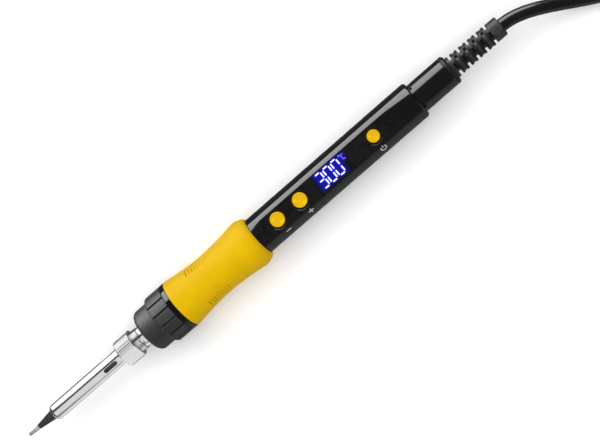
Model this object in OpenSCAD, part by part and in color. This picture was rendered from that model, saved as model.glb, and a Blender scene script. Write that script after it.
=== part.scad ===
// Mains soldering iron with a temperature display in the handle.
// Units are millimetres. The iron lies along X with its tip towards -X and its panel facing +Z.
// The origin is under the middle of the tool, on the surface that it lies on.
// Places along the tool are measured from the very end of the tip.

/* [Tool] */
// Length from the tip to the end of the strain relief
tool_length = 279.5; // [279:0.1:281]
// Radius of the handle tube
handle_r = 9.05; // [8.8:0.05:9.4]
// Inner radius of the handle tube
handle_bore_r = 6.5; // [6.4:0.05:6.6]
// Height of the milled flat above the tool's axis
flat_height = 7.67; // [7.5:0.01:7.8]

/* [Tip and sleeve] */
// Length of the tinned end of the tip
tinned_length = 5.9; // [4:0.1:7]
// Radius of the tip's cone where it leaves the sleeve
tip_cone_r = 2.4; // [2.2:0.05:2.45]
// Radius of the tip's shank inside the sleeve
tip_shank_r = 3.25; // [3.1:0.05:3.3]
// Outer radius of the sleeve
sleeve_r = 3.9; // [3.85:0.01:3.92]
// Wall of the sleeve
sleeve_wall = 0.45; // [0.4:0.05:0.5]
// Number of vents round the sleeve
vent_count = 4; // [2:1:6]
// Length of one vent
vent_length = 7.4; // [5:0.1:9]
// Width of one vent
vent_width = 2.05; // [1.5:0.05:2.5]

/* [Sleeve nut and nipple] */
// Outer radius of the nut
nut_r = 6.9; // [6.6:0.05:7.2]
// Half of the distance across the nut's flats
nut_flat = 6.2; // [6.1:0.05:6.4]
// Number of splines round the nut
spline_count = 48; // [36:2:60]
// Radius over the nipple's thread
thread_r = 5.45; // [5.3:0.05:5.45]
// Thread pitch on the nipple
thread_pitch = 0.8; // [0.6:0.05:1]

/* [Front collar] */
// Radius of the collar's smooth nose
collar_nose_r = 10.58; // [10.3:0.02:10.8]
// Radius over the corners of the ribbed ring
collar_ring_r = 12.2; // [11.8:0.05:12.22]
// Number of flat panels round the ring
panel_count = 14; // [10:1:18]
// Width of the groove between two panels
groove_width = 0.55; // [0.4:0.05:0.8]

/* [Grip] */
// Radius of the grip's front lip
grip_front_r = 12.25; // [12.25:0.01:12.3]
// Radius of the grip's waist
grip_waist_r = 10.3; // [10:0.05:10.8]
// Radius of the grip's rear shoulder
grip_shoulder_r = 11.98; // [11.6:0.02:12.1]
// Number of slits in each side band of the grip
slit_count = 8; // [4:1:10]

/* [Controls] */
// Radius of the minus and plus buttons
button_r = 3.4; // [3:0.05:3.5]
// Radius of the power button
power_r = 2.9; // [2.5:0.05:3.2]
// Travel of each button
button_travel = 0.4; // [0.2:0.05:0.45]
// Length of the display window
window_length = 18; // [16:0.2:19]
// Width of the display window
window_width = 9.2; // [8:0.1:9.3]

/* [Cord] */
// Diameter of the mains cord
cord_d = 6; // [5.8:0.1:6]
// Straight run of the hank between its folds
hank_run = 110; // [100:1:120]
// Radius of the outermost fold of the hank, at the middle of the cord
hank_fold_r = 24; // [24:1:26]

/* [Hidden] */
$fn = 64;
eps = 0.01;

// The tool's axis stands above the surface by its largest radius.
axis_height = grip_front_r;

// Stations along the tool, from the end of the tip
sleeve_from = 14.9;
vent_middle = 50.8;
nut_from = 58;
nut_to = 66.6;
sleeve_to = 61.4;
thread_to = 70.4;
collar_from = 73;
ring_from = 82.2;
ring_to = 91.1;
flange_to = 93.6;
grip_waist_at = 113.9;
grip_shoulder_at = 134.4;
grip_to = 140.05;
handle_to = 232.1;
flat_from = 145;
flat_to = 215.7;
minus_at = 152.5;
plus_at = 165.5;
window_at = 184.2;
power_at = 207.8;
tail_to = 249.7;
relief_from = 253.2;
collar_end_from = 274.1;

// Insides of the handle
tail_bore_r = 7.15;
tail_bore_from = 218;
neck_r = 8.5;
board_width = 11.4;
board_thick = 1.6;
board_top = 0.6;
board_from = 103;
board_to = 214;
switch_size = 4.5;
switch_top = 3.1;
plunger_r = 1.1;
plunger_top = 4.2;

// Strain relief
relief_r = 5.05;
relief_pitch = 4.9;
relief_turn = -15;
relief_web = 1.6;

// Cord route, at the middle of the cord: out of the strain relief and down to the surface
lead_route = [
    [139.75, 0, 12.25], [144, -0.5, 12.25], [149, -1.8, 12], [154, -3.8, 11.3], [159, -6.3, 10],
    [164, -9.1, 8.4], [169, -12, 6.7], [174, -14.9, 5.2], [179, -17.6, 4], [184, -20, 3.3],
    [190, -22.2, 3.02], [196, -23.5, 3], [203, -24, 3]
];
hank_from = 212;
hank_to = hank_from + hank_run;
// The last fold rises inside the others, and the cord goes on to the plug that lies on the hank
last_fold_r = 3 * cord_d;
last_fold_y = last_fold_r - hank_fold_r;
end_route = concat(
    [
        for (i = [0:8])
        let (a = 22.5 * i - 90)
        [hank_to + last_fold_r * cos(a), last_fold_y + last_fold_r * sin(a), 14 + i / 4]
    ],
    [[311, 11.4, 17.1], [300, 10, 19.5], [289, 8.6, 21.9], [278, 8, 23.02]]
);
hank_middle = hank_from + hank_run / 2;
hank_pinch = 15;
hank_height = 2 * cord_d;
tie_width = 10;
tie_thick = 0.8;
plug_y = 8;
plug_height = 23.02;
plug_rear = 278;
plug_neck = 18;
plug_length = 36;
plug_face = plug_rear - plug_neck - plug_length;

// Moves a shape from the tip's end to a station along the tool's axis.
module at(s) translate([s - tool_length / 2, 0, axis_height]) children();

// Revolves an outline of [radius, station] points about the tool's axis.
module turned(outline) at(0) rotate([0, 90, 0]) rotate_extrude($fn = 96) polygon(outline);

// A plain ring or disc about the tool's axis.
module ring(from, to, r, bore = 0) turned([[bore, from], [r, from], [r, to], [bore, to]]);

// A cylinder that stands on the tool's axis plane at a station, from one height to another.
module post(s, low, high, r1, r2) at(s) translate([0, 0, low]) cylinder(h = high - low, r1 = r1, r2 = r2);

// A box centred across the tool, between two stations and two heights.
module block(from, to, width, low, high, y = 0)
    at(from) translate([0, y - width / 2, low]) cube([to - from, width, high - low]);

// A round bar from one point to another, in stations and offsets from the axis.
module bar(a, b, r) {
    v = b - a;
    span = norm(v);
    at(0) translate(a) rotate([0, acos(v[2] / span), atan2(v[1], v[0])]) cylinder(h = span, r = r);
}

// A wire through several points, in stations and offsets from the axis.
module wire(points, r) at(0) swept_tube(points, r, 8);

// Points of an arc: centre [radius, station], radius r, from angle a0 to angle a1.
function arc(c, r, a0, a1, n = 6) =
    [for (i = [0:n]) c + r * [cos(a0 + (a1 - a0) * i / n), sin(a0 + (a1 - a0) * i / n)]];

// Direction of a route at point i, from its neighbours.
function heading(route, i) =
    let (d = route[min(i + 1, len(route) - 1)] - route[max(i - 1, 0)]) d / norm(d);

// A tube of even section swept along a route that stays near level.
module swept_tube(route, r, sides = 12) {
    n = len(route);
    points = [
        for (i = [0:n - 1])
        let (t = heading(route, i), across = cross([0, 0, 1], t), side = across / norm(across),
            up = cross(t, side))
        for (k = [0:sides - 1]) route[i] + r * (cos(360 * k / sides) * side + sin(360 * k / sides) * up)
    ];
    skin = [
        for (i = [0:n - 2]) for (k = [0:sides - 1])
        let (a = i * sides + k, b = i * sides + (k + 1) % sides)
        each [[a, b, b + sides], [a, b + sides, a + sides]]
    ];
    front = [for (k = [1:sides - 2]) [0, k + 1, k]];
    back = [for (k = [1:sides - 2]) (n - 1) * sides * [1, 1, 1] + [0, k, k + 1]];
    polyhedron(points = points, faces = concat(skin, front, back), convexity = 4);
}

// ---- Tip, sleeve, nut and nipple ----

module soldering_tip() color("#4c4c4c") difference() {
    turned([
        [0, 0], [0.9, 0], [1.2, tinned_length], [tip_cone_r, sleeve_from],
        [tip_cone_r, sleeve_from + 0.6], [tip_shank_r, sleeve_from + 2], [tip_shank_r, 35], [0, 35]
    ]);
    // Two faces of the chisel end
    at(0) for (m = [0, 1]) mirror([0, 0, m]) translate([-1, -2, 0.28]) rotate([0, -9, 0])
        cube([tinned_length + 1, 4, 2]);
    ring(20, 35 + eps, 2.1);
}

module tip_sleeve() color("#d8d8d8") difference() {
    inner = sleeve_r - sleeve_wall;
    nose = 2.2;
    turned(concat(
        [[2.5, sleeve_from + sleeve_wall], [2.5, sleeve_from + 0.15]],
        arc([sleeve_r - nose, sleeve_from + nose], nose, -65, 0),
        [[sleeve_r, nut_from - 0.2], [3.7, nut_from - 0.2], [3.7, 60.2], [4.9, 60.2], [4.9, sleeve_to],
            [inner, sleeve_to], [inner, sleeve_from + 3]],
        arc([sleeve_r - nose, sleeve_from + nose], nose - sleeve_wall, 0, -50)
    ));
    straight = vent_length - vent_width;
    for (i = [0:vent_count - 1]) at(vent_middle) rotate([12 + 360 * i / vent_count, 0, 0]) {
        translate([-straight / 2, -vent_width / 2, 1]) cube([straight, vent_width, 4]);
        for (x = [-straight / 2, straight / 2]) translate([x, 0, 1])
            cylinder(h = 4, r = vent_width / 2 - 0.01);
    }
}

module sleeve_nut() color("#e4e4e4") {
    length = nut_to - nut_from;
    spline = [
        for (i = [0:2 * spline_count - 1])
        let (r = nut_r - (i % 2) * 0.28, a = 180 * i / spline_count) [r * cos(a), r * sin(a)]
    ];
    difference() {
        intersection() {
            at(nut_from) rotate([0, 90, 0]) linear_extrude(length) polygon(spline);
            turned([[0, nut_from], [nut_r - 0.5, nut_from], [nut_r + 0.2, nut_from + 0.7],
                [nut_r + 0.2, nut_to - 0.6], [nut_r - 0.4, nut_to], [0, nut_to]]);
            at(nut_from) rotate([29, 0, 0]) translate([-1, -nut_r, -nut_flat])
                cube([length + 2, 2 * nut_r, 2 * nut_flat]);
        }
        turned([
            [0, nut_from - 1], [sleeve_r + 0.08, nut_from - 1], [sleeve_r + 0.08, 60.1], [5.0, 60.1],
            [5.0, sleeve_to + 0.1], [thread_r + 0.06, sleeve_to + 0.1], [thread_r + 0.06, nut_to + 1],
            [0, nut_to + 1]
        ]);
    }
}

module threaded_nipple() color("#cfcfcf") {
    turns = floor((thread_to - sleeve_to - 0.2) / thread_pitch);
    start = sleeve_to + 0.2;
    thread = [for (i = [0:turns - 1]) each [
        [thread_r - 0.4, start + i * thread_pitch], [thread_r, start + (i + 0.4) * thread_pitch],
        [thread_r, start + (i + 0.6) * thread_pitch]
    ]];
    bore = 4.1;
    turned(concat(
        [[bore, start - 0.1]], thread,
        [[5.1, start + turns * thread_pitch], [5.1, 76], [8, 76], [8, 77.6], [bore, 77.6]]
    ));
}

module front_collar() color("#464646") difference() {
    panel_half = 180 / panel_count - asin(groove_width / 2 / collar_ring_r);
    groove_r = collar_ring_r - 1.1;
    ring_outline = [
        for (i = [0:panel_count - 1])
        let (a = 360 * i / panel_count)
        each [
            for (p = [[groove_r, -panel_half], [collar_ring_r, -panel_half], [collar_ring_r, panel_half],
                [groove_r, panel_half]]) [p[0] * cos(a + p[1]), p[0] * sin(a + p[1])]
        ]
    ];
    union() {
        turned(concat(
            [[0, collar_from]],
            arc([collar_nose_r - 2.75, collar_from + 2.75], 2.75, -90, 0),
            [[collar_nose_r, ring_from - 1.6], [collar_nose_r + 0.15, ring_from - 0.7],
                [collar_nose_r + 0.5, ring_from + 0.2], [collar_nose_r + 0.5, ring_to], [0, ring_to]]
        ));
        intersection() {
            at(ring_from) rotate([0, 90, 0]) linear_extrude(ring_to - ring_from) polygon(ring_outline);
            turned([[0, ring_from], [collar_ring_r - 0.5, ring_from], [collar_ring_r + 0.2, ring_from + 0.8],
                [collar_ring_r + 0.2, ring_to], [0, ring_to]]);
        }
    }
    turned([
        [0, collar_from - 1], [5.25, collar_from - 1], [5.25, 75.9], [8.15, 75.9], [8.15, 78.4],
        [8.7, 78.4], [8.7, ring_to + 1], [0, ring_to + 1]
    ]);
}

// ---- Heater ----

module heating_element() color("#f2efe6") ring(20.8, 97, 2);

module heater_collar() color("#e6e0cf") ring(79, 82.8, 4.6, 2.02);

module earth_spring() color("#b9b9b9") {
    turns = 3;
    steps = 14;
    length = 4;
    coil_r = 5.5;
    coil = [
        for (i = [0:turns * steps])
        let (a = 360 * i / steps) [coil_r * cos(a), coil_r * sin(a), length * i / (turns * steps)]
    ];
    at(78.3) rotate([0, 90, 0]) swept_coil(coil, 0.28, 6);
}

// A round wire swept along a coil about Z.
module swept_coil(coil, r, sides) {
    n = len(coil);
    points = [
        for (i = [0:n - 1])
        let (t = heading(coil, i), out = [coil[i][0], coil[i][1], 0] / norm([coil[i][0], coil[i][1]]),
            side = cross(t, out) / norm(cross(t, out)), lift = cross(side, t))
        for (k = [0:sides - 1]) coil[i] + r * (cos(360 * k / sides) * lift + sin(360 * k / sides) * side)
    ];
    skin = [
        for (i = [0:n - 2]) for (k = [0:sides - 1])
        let (a = i * sides + k, b = i * sides + (k + 1) % sides)
        each [[a, b + sides, b], [a, a + sides, b + sides]]
    ];
    front = [for (k = [1:sides - 2]) [0, k, k + 1]];
    back = [for (k = [1:sides - 2]) (n - 1) * sides * [1, 1, 1] + [0, k + 1, k]];
    polyhedron(points = points, faces = concat(skin, front, back), convexity = 8);
}

module heater_holder() color("#d9d2bd") ring(83, 93, handle_bore_r - 0.03, 2.03);

module heater_leads() color("#c23b2e") for (y = [-1, 1])
    wire([[97.1, y * 0.9, 0.9], [98.2, y * 0.9, 0.9], [101, y * 2, 1.1],
        [104.5, y * 2.4, board_top + 0.45]], 0.4);

module sensor_leads() color("#ece9e2") for (y = [-1, 1])
    wire([[97.1, y * 0.9, -0.9], [98.2, y * 0.9, -0.9], [101, y * 3.8, 1.1],
        [104.5, y * 4.6, board_top + 0.45]], 0.4);

// ---- Handle ----

module handle_shell() color("#161616") {
    difference() {
        turned(concat(
            [[handle_bore_r, 78.6], [8.2, 78.6], [8.6, 79], [8.6, ring_to + 0.2], [12.1, ring_to + 0.2],
                [12.15, ring_to + 0.5], [12.15, flange_to], [neck_r, flange_to], [neck_r, 139],
                [handle_r, 139.5]],
            arc([handle_r - 1.4, handle_to - 1.4], 1.4, 0, 90),
            [[tail_bore_r, handle_to], [tail_bore_r, tail_bore_from], [handle_bore_r, tail_bore_from]]
        ));
        // Milled flat with round ends
        block(flat_from + 4.9, flat_to - 4.9, 14, flat_height, 12);
        for (s = [flat_from + 4.9, flat_to - 4.9]) post(s, flat_height, 12, 4.9, 4.9);
        block(window_at - window_length / 2, window_at + window_length / 2, window_width, 2, 12);
        button_cut(minus_at, button_r);
        button_cut(plus_at, button_r);
        button_cut(power_at, power_r);
    }
    // Rails that the board slides in on
    for (y = [-5.95, 5.95]) block(board_from + 1, board_to, 1.1, -1.9, board_top - board_thick - 0.05, y);
}

// Hole, bevelled rim and inner pocket for one button
module button_cut(s, r) {
    post(s, 2, 12, r + 0.05, r + 0.05);
    post(s, flat_height - 0.9, flat_height + 0.2, r + 0.05, r + 1.35);
    post(s, 2, 6.3, r + 1.1, r + 1.1);
}

module grip_sleeve() color("#ecbe00") {
    front = [
        for (i = [0:12])
        let (t = 1 - i / 12)
        [grip_waist_r + (grip_front_r - grip_waist_r) * pow(t, 1.6),
            grip_waist_at - t * (grip_waist_at - flange_to)]
    ];
    rear = [
        for (i = [1:12])
        let (t = i / 12)
        [grip_waist_r + (grip_shoulder_r - grip_waist_r) * pow(t, 1.9),
            grip_waist_at + t * (grip_shoulder_at - grip_waist_at)]
    ];
    end = [[11.7, 136.6], [10.75, 138.9], [9.6, grip_to]];
    difference() {
        turned(concat(
            [[neck_r + 0.02, flange_to + 0.02], [grip_front_r, flange_to + 0.02]],
            [for (p = front) if (p[1] > flange_to + 1) p], rear, end,
            [[handle_r + 0.02, grip_to], [handle_r + 0.02, 139.5], [neck_r + 0.02, 138.95]]
        ));
        for (side = [-55, 55], i = [0:slit_count - 1]) at(105.5 + 1.6 * i) rotate([side, 0, 0])
            translate([-0.3, -2.2, 10]) cube([0.6, 4.4, 4]);
    }
}

module display_window() color("#1616b0")
    block(window_at - window_length / 2 + 0.04, window_at + window_length / 2 - 0.04,
        window_width - 0.08, 6.1, flat_height - 0.03);

module display_module() color("#101060")
    block(window_at - window_length / 2 + 0.1, window_at + window_length / 2 - 0.1, window_width - 0.3,
        board_top + 0.02, 6);

// A button with a low crown, a retaining flange and the stem that presses its switch
module button(s, r) color("#f0b900") {
    turned_up(s, [
        [0, plunger_top + 0.02], [1.3, plunger_top + 0.02], [1.3, 5.4], [r + 0.75, 5.4], [r + 0.75, 6.26],
        [r, 6.26], [r, flat_height + 0.05], [r - 0.35, flat_height + 0.35], [0, flat_height + 0.5]
    ]);
}

// Revolves an outline of [radius, height] points about an upright line through the tool's axis.
module turned_up(s, outline) at(s) rotate_extrude($fn = 64) polygon(outline);

module minus_button() button(minus_at, button_r);

module plus_button() button(plus_at, button_r);

module power_button() button(power_at, power_r);

module button_switches() color("#303030") for (s = [minus_at, plus_at, power_at]) difference() {
    block(s - switch_size / 2, s + switch_size / 2, switch_size, board_top + 0.02, switch_top);
    post(s, switch_top - 0.7 - button_travel, switch_top + 1, plunger_r + 0.06, plunger_r + 0.06);
}

module plunger(s) color("#dcdcdc") post(s, switch_top - 0.5, plunger_top, plunger_r, plunger_r);

module minus_plunger() plunger(minus_at);

module plus_plunger() plunger(plus_at);

module power_plunger() plunger(power_at);

// ---- Electronics ----

module circuit_board() color("#1f6b3a")
    block(board_from, board_to, board_width, board_top - board_thick, board_top);

module controller_chip() color("#222222") {
    block(120, 133, 5.3, board_top + 0.12, board_top + 2.2);
    for (s = [120.9:1.27:132.5], y = [-3, 3])
        block(s, s + 0.4, 1, board_top + 0.01, board_top + 0.5, y);
}

module triac() color("#2b2b2b") {
    block(194.5, 201, 5.5, board_top + 0.05, board_top + 3);
    for (y = [-1.6, 0, 1.6]) block(201, 203.6, 0.7, board_top + 0.05, board_top + 0.7, y);
}

module film_capacitor() color("#c9a227") block(186, 199, 5, -5.6, board_top - board_thick - 0.05);

module smoothing_capacitor() color("#27406e")
    bar([168, 0, -3.6], [180, 0, -3.6], 2.4);

module fuse() color("#d6d6d6") bar([150, 0, -3.2], [160, 0, -3.2], 1.8);

// ---- Tail ----

module tail_plug() color("#181818") difference() {
    turned(concat(
        [[5.6, 218.6], [7.05, 218.6], [7.05, handle_to + 0.05], [7.1, handle_to + 0.1]],
        arc([7.1 - 0.4, tail_to - 0.4], 0.4, 0, 90, 3),
        [[4.05, tail_to], [4.05, 247.7], [5.6, 247.7]]
    ));
    for (a = [-44, 44]) at(232.9) rotate([a, 0, 0]) translate([-0.6, -0.7, 6.3]) cube([1.2, 1.4, 2]);
}

module strain_relief() color("#242424") difference() {
    bore = cord_d / 2 + 0.03;
    turned([
        [bore, 245.6], [5.3, 245.6], [5.3, 247.6], [4, 247.6], [4, tail_to + 0.05], [7.15, tail_to + 0.05],
        [7.15, 251], [6.3, 251.9], [5.2, 251.9], [5.2, relief_from], [relief_r, relief_from],
        [relief_r - 0.2, collar_end_from], [4.75, collar_end_from], [4.75, tool_length - 0.3],
        [4.45, tool_length], [bore, tool_length]
    ]);
    // Slots between the blocks leave webs at the top and bottom.
    // Slots inside the blocks leave webs at the sides.
    for (i = [0:4]) relief_slot(relief_from + relief_pitch * i + 0.05, 1.25, relief_turn);
    for (i = [0:3]) relief_slot(relief_from + relief_pitch * i + 2.45, 1.3, relief_turn + 90);
}

module relief_slot(s, length, turn) at(s) rotate([turn, 0, 0])
    for (m = [0, 1]) mirror([0, m, 0]) translate([0, relief_web, -6]) cube([length, 6, 12]);

module cable_tie() color("#e8e8e2") {
    ring(240, 242.5, 4.1, cord_d / 2 + 0.02);
    block(239.5, 243, 3.4, 4, 5.2);
}

module cord_inner_end() color("#1b1b1b") ring(236, tool_length - 0.05, cord_d / 2);

module core_wire(y, z) wire([
    [235.95, 1.3 * sign(y), z / 2], [229, 1.3 * sign(y), z / 2], [219, y, z], [212.5, y, board_top + 0.75]
], 0.7);

module brown_wire() color("#6b3e1e") core_wire(3.6, 1.9);

module blue_wire() color("#1e4fa3") core_wire(-3.6, 1.9);

module earth_wire() color("#8fae1b")
    wire([[235.95, 0, -1.3], [229, 0, -1.6], [218, 0, -1.9], [212, 0, -1.75]], 0.7);

// ---- Cord and plug ----

module cord_lead() color("#1a1a1a") swept_tube(lead_route, cord_d / 2);

module cord_end() color("#1a1a1a") swept_tube(end_route, cord_d / 2);

// How far the outside of the hank lies from its middle line, pinched at the tie.
function hank_side(u) = let (t = min(abs(u) / (hank_run / 2), 1))
    hank_fold_r + cord_d / 2 - hank_pinch * (1 - (3 * t * t - 2 * t * t * t));

module cord_hank() color("#1c1c1c") difference() {
    half = hank_run / 2;
    side = [for (i = [-8:8]) [i / 8 * half, hank_side(i / 8 * half)]];
    far = arc([half, 0], hank_fold_r + cord_d / 2, 75, -75, 10);
    near = arc([-half, 0], hank_fold_r + cord_d / 2, -105, -255, 10);
    translate([hank_middle, 0, 0]) linear_extrude(hank_height)
        polygon(concat(side, far, [for (i = [16:-1:0]) [side[i][0], -side[i][1]]], near));
    // The tie passes under the hank here
    translate([hank_middle - tie_width / 2 - 0.3, -20, -1])
        cube([tie_width + 0.6, 40, 1 + tie_thick + 0.05]);
}

module cord_tie() color("#2a2a2a") difference() {
    half = hank_fold_r + cord_d / 2 - hank_pinch + 0.55;
    translate([hank_middle - tie_width / 2, -half - tie_thick, 0])
        cube([tie_width, 2 * (half + tie_thick), hank_height + tie_thick + 0.05]);
    translate([hank_middle - tie_width, -half, tie_thick])
        cube([2 * tie_width, 2 * half, hank_height - 0.75]);
}

// A moulded plug: flat oval body, finger waist and tapered cord neck
module plug_body() color("#1e1e1e") translate([0, plug_y, plug_height]) {
    hull() {
        for (y = [-9, 9], z = [-8, 8]) {
            translate([plug_face + 3, y, z]) sphere(r = 3, $fn = 24);
            translate([plug_face + 6, y, z]) rotate([0, 90, 0]) cylinder(h = 8, r = 3, $fn = 24);
        }
        for (y = [-4.5, 4.5], z = [-3.5, 3.5])
            translate([plug_rear - plug_neck - 4, y, z]) rotate([0, 90, 0])
                cylinder(h = 4, r = 2.5, $fn = 24);
    }
    translate([plug_rear - plug_neck - 0.5, 0, 0]) rotate([0, 90, 0])
        cylinder(h = plug_neck + 0.5, r1 = 5, r2 = 3.9);
}

module plug_blades() color("#c9b26a") for (y = [-6.35, 6.35])
    translate([plug_face - 17.5, plug_y + y - 0.75, plug_height - 8.2]) cube([17.4, 1.5, 6.35]);

module plug_earth_pin() color("#c9b26a")
    translate([plug_face - 20, plug_y, plug_height + 6.5]) rotate([0, 90, 0]) cylinder(h = 19.9, r = 2.38);

soldering_tip();
tip_sleeve();
sleeve_nut();
threaded_nipple();
heating_element();
heater_collar();
earth_spring();
heater_holder();
heater_leads();
sensor_leads();
front_collar();
handle_shell();
grip_sleeve();
display_window();
display_module();
minus_button();
plus_button();
power_button();
button_switches();
minus_plunger();
plus_plunger();
power_plunger();
circuit_board();
controller_chip();
triac();
film_capacitor();
smoothing_capacitor();
fuse();
tail_plug();
strain_relief();
cable_tie();
cord_inner_end();
brown_wire();
blue_wire();
earth_wire();
cord_lead();
cord_hank();
cord_tie();
cord_end();
plug_body();
plug_blades();
plug_earth_pin();
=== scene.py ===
"""Looks for the soldering iron: camera, cord, pieces, finishes, floor and lights.

Sizes are in millimetres. Places along the tool are measured from the end of the tip.
"""

import math

import bpy
from mathutils import Matrix, Vector


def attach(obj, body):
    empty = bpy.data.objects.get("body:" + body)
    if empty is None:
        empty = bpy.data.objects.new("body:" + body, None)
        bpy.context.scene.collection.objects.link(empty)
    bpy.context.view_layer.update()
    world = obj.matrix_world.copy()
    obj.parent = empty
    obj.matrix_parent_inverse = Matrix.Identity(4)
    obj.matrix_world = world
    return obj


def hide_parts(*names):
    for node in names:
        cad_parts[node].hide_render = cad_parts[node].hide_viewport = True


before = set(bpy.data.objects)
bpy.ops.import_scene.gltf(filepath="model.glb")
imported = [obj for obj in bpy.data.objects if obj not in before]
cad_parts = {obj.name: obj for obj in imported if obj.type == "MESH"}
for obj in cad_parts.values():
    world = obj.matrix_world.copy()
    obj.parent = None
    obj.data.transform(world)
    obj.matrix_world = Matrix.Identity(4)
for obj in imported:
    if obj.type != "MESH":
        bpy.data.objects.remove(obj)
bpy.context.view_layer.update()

MM = 0.001
AXIS = 12.25
HALF = 139.75


# ---- Helpers ----


def x_at(station):
    return (station - HALF) * MM


def spot(station, across, above):
    """A point at a station, so far across the tool and so far above its axis."""
    return Vector((x_at(station), across * MM, (AXIS + above) * MM))


def deselect():
    if bpy.context.object and bpy.context.object.mode != "OBJECT":
        bpy.ops.object.mode_set(mode="OBJECT")
    bpy.ops.object.select_all(action="DESELECT")


def activate(piece):
    deselect()
    piece.select_set(True)
    bpy.context.view_layer.objects.active = piece


def settle(piece):
    """Writes the piece's place into its mesh, so that its origin is the frame's."""
    activate(piece)
    bpy.ops.object.transform_apply(location=True, rotation=True, scale=True)


def edit(piece):
    activate(piece)
    bpy.ops.object.mode_set(mode="EDIT")


def leave_edit():
    bpy.ops.object.mode_set(mode="OBJECT")


def tidy(piece):
    """Merges doubled corners and turns every face outward."""
    edit(piece)
    bpy.ops.mesh.select_all(action="SELECT")
    bpy.ops.mesh.remove_doubles(threshold=0.000001)
    bpy.ops.mesh.normals_make_consistent(inside=False)
    leave_edit()


def arc(station, radius, r, start, end, count=8):
    """Points of an arc in an outline, from one angle to another. 0 degrees points outward."""
    points = []
    for i in range(count + 1):
        angle = math.radians(start + (end - start) * i / count)
        points.append((station + r * math.sin(angle), radius + r * math.cos(angle)))
    return points


def rounded(outline, closed, count=5):
    """The outline's points, with an arc at each corner that has a third number as its radius."""
    points = []
    total = len(outline)
    for i, corner in enumerate(outline):
        here = Vector(corner[:2])
        if len(corner) < 3 or (not closed and i in (0, total - 1)):
            points.append(here)
            continue
        back = Vector(outline[i - 1][:2]) - here
        ahead = Vector(outline[(i + 1) % total][:2]) - here
        half = back.angle(ahead) / 2
        reach = min(corner[2] / math.tan(half), 0.49 * back.length, 0.49 * ahead.length)
        radius = reach * math.tan(half)
        back.normalize()
        ahead.normalize()
        middle = here + (back + ahead).normalized() * (radius / math.sin(half))
        start = here + back * reach - middle
        turn = -start.angle_signed(here + ahead * reach - middle)
        for k in range(count + 1):
            a = turn * k / count
            x = start.x * math.cos(a) - start.y * math.sin(a)
            y = start.x * math.sin(a) + start.y * math.cos(a)
            points.append(middle + Vector((x, y)))
    return points


def profile(name, points, place, closed):
    """A chain of edges through the points, drawn by extruding one corner."""
    deselect()
    bpy.ops.mesh.primitive_plane_add(size=MM, location=place(points[0]))
    piece = bpy.context.object
    piece.name = name
    settle(piece)
    edit(piece)
    bpy.ops.mesh.select_mode(type="VERT")
    bpy.ops.mesh.select_all(action="SELECT")
    bpy.ops.mesh.merge(type="CENTER")
    here = place(points[0])
    for point in points[1:] + (points[:1] if closed else []):
        there = place(point)
        bpy.ops.mesh.extrude_region_move(TRANSFORM_OT_translate={"value": there - here})
        here = there
    bpy.ops.mesh.select_all(action="SELECT")
    bpy.ops.mesh.remove_doubles(threshold=0.000001)
    return piece


def turned(name, outline, steps=96):
    """A piece turned about the tool's axis from an outline of (station, radius) corners."""
    closed = outline[0][1] > 0
    points = rounded(outline, closed)
    piece = profile(name, points, lambda p: spot(p.x, 0, p.y), closed)
    bpy.ops.mesh.select_all(action="SELECT")
    bpy.ops.mesh.spin(steps=steps, angle=math.tau, center=(0, 0, AXIS * MM), axis=(1, 0, 0))
    tidy(piece)
    return piece


def turned_up(name, station, outline, steps=64):
    """A piece turned about an upright line through the tool's axis, from (radius, height) corners."""
    closed = outline[0][0] > 0
    points = rounded(outline, closed)
    piece = profile(name, points, lambda p: spot(station, p.x, p.y), closed)
    bpy.ops.mesh.select_all(action="SELECT")
    bpy.ops.mesh.spin(steps=steps, angle=math.tau, center=spot(station, 0, 0), axis=(0, 0, 1))
    tidy(piece)
    return piece


def block(name, stations, across, above):
    """A box between two stations, two places across the tool and two heights above its axis."""
    low = spot(stations[0], across[0], above[0])
    high = spot(stations[1], across[1], above[1])
    deselect()
    bpy.ops.mesh.primitive_cube_add(size=1, location=(low + high) / 2, scale=high - low)
    piece = bpy.context.object
    piece.name = name
    settle(piece)
    return piece


def pill(name, station, across, above, length, width, height, sides=32):
    """An upright prism with round ends, standing at a height above the tool's axis."""
    deselect()
    bpy.ops.mesh.primitive_cylinder_add(
        vertices=sides,
        radius=width / 2 * MM,
        depth=height * MM,
        location=spot(station, across, above + height / 2),
    )
    piece = bpy.context.object
    piece.name = name
    settle(piece)
    stretch(piece, (length - width) / 2, x_at(station))
    return piece


def stretch(piece, reach, middle):
    """Moves the corners on each side of a station apart along the tool."""
    for side in (-1, 1):
        select(piece, "VERT", lambda v: (v.co.x - middle) * side > 0.000001)
        bpy.ops.transform.translate(value=(side * reach * MM, 0, 0))
        leave_edit()


def select(piece, kind, wanted):
    """Enters edit mode with only the wanted corners, edges or faces selected."""
    edit(piece)
    bpy.ops.mesh.select_mode(type=kind)
    bpy.ops.mesh.select_all(action="DESELECT")
    leave_edit()
    mesh = piece.data
    parts = {"VERT": mesh.vertices, "EDGE": mesh.edges, "FACE": mesh.polygons}[kind]
    for part in parts:
        part.select = bool(wanted(part))
    bpy.ops.object.mode_set(mode="EDIT")


def ends_of(piece, edge):
    return [piece.data.vertices[v].co for v in edge.vertices]


def turn_about(piece, angle, centre, axis="X"):
    """Turns a piece about a line through a point, and writes that into its mesh."""
    swing = Matrix.Rotation(math.radians(angle), 4, axis)
    piece.matrix_world = Matrix.Translation(centre) @ swing @ Matrix.Translation(-centre)
    settle(piece)


def turn_round(piece, angle):
    turn_about(piece, angle, Vector((0, 0, AXIS * MM)))


def copy_of(piece, name):
    twin = piece.copy()
    twin.data = piece.data.copy()
    twin.name = name
    bpy.context.scene.collection.objects.link(twin)
    return twin


def join(pieces):
    deselect()
    for piece in pieces:
        piece.select_set(True)
    bpy.context.view_layer.objects.active = pieces[0]
    bpy.ops.object.join()
    return bpy.context.object


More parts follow.
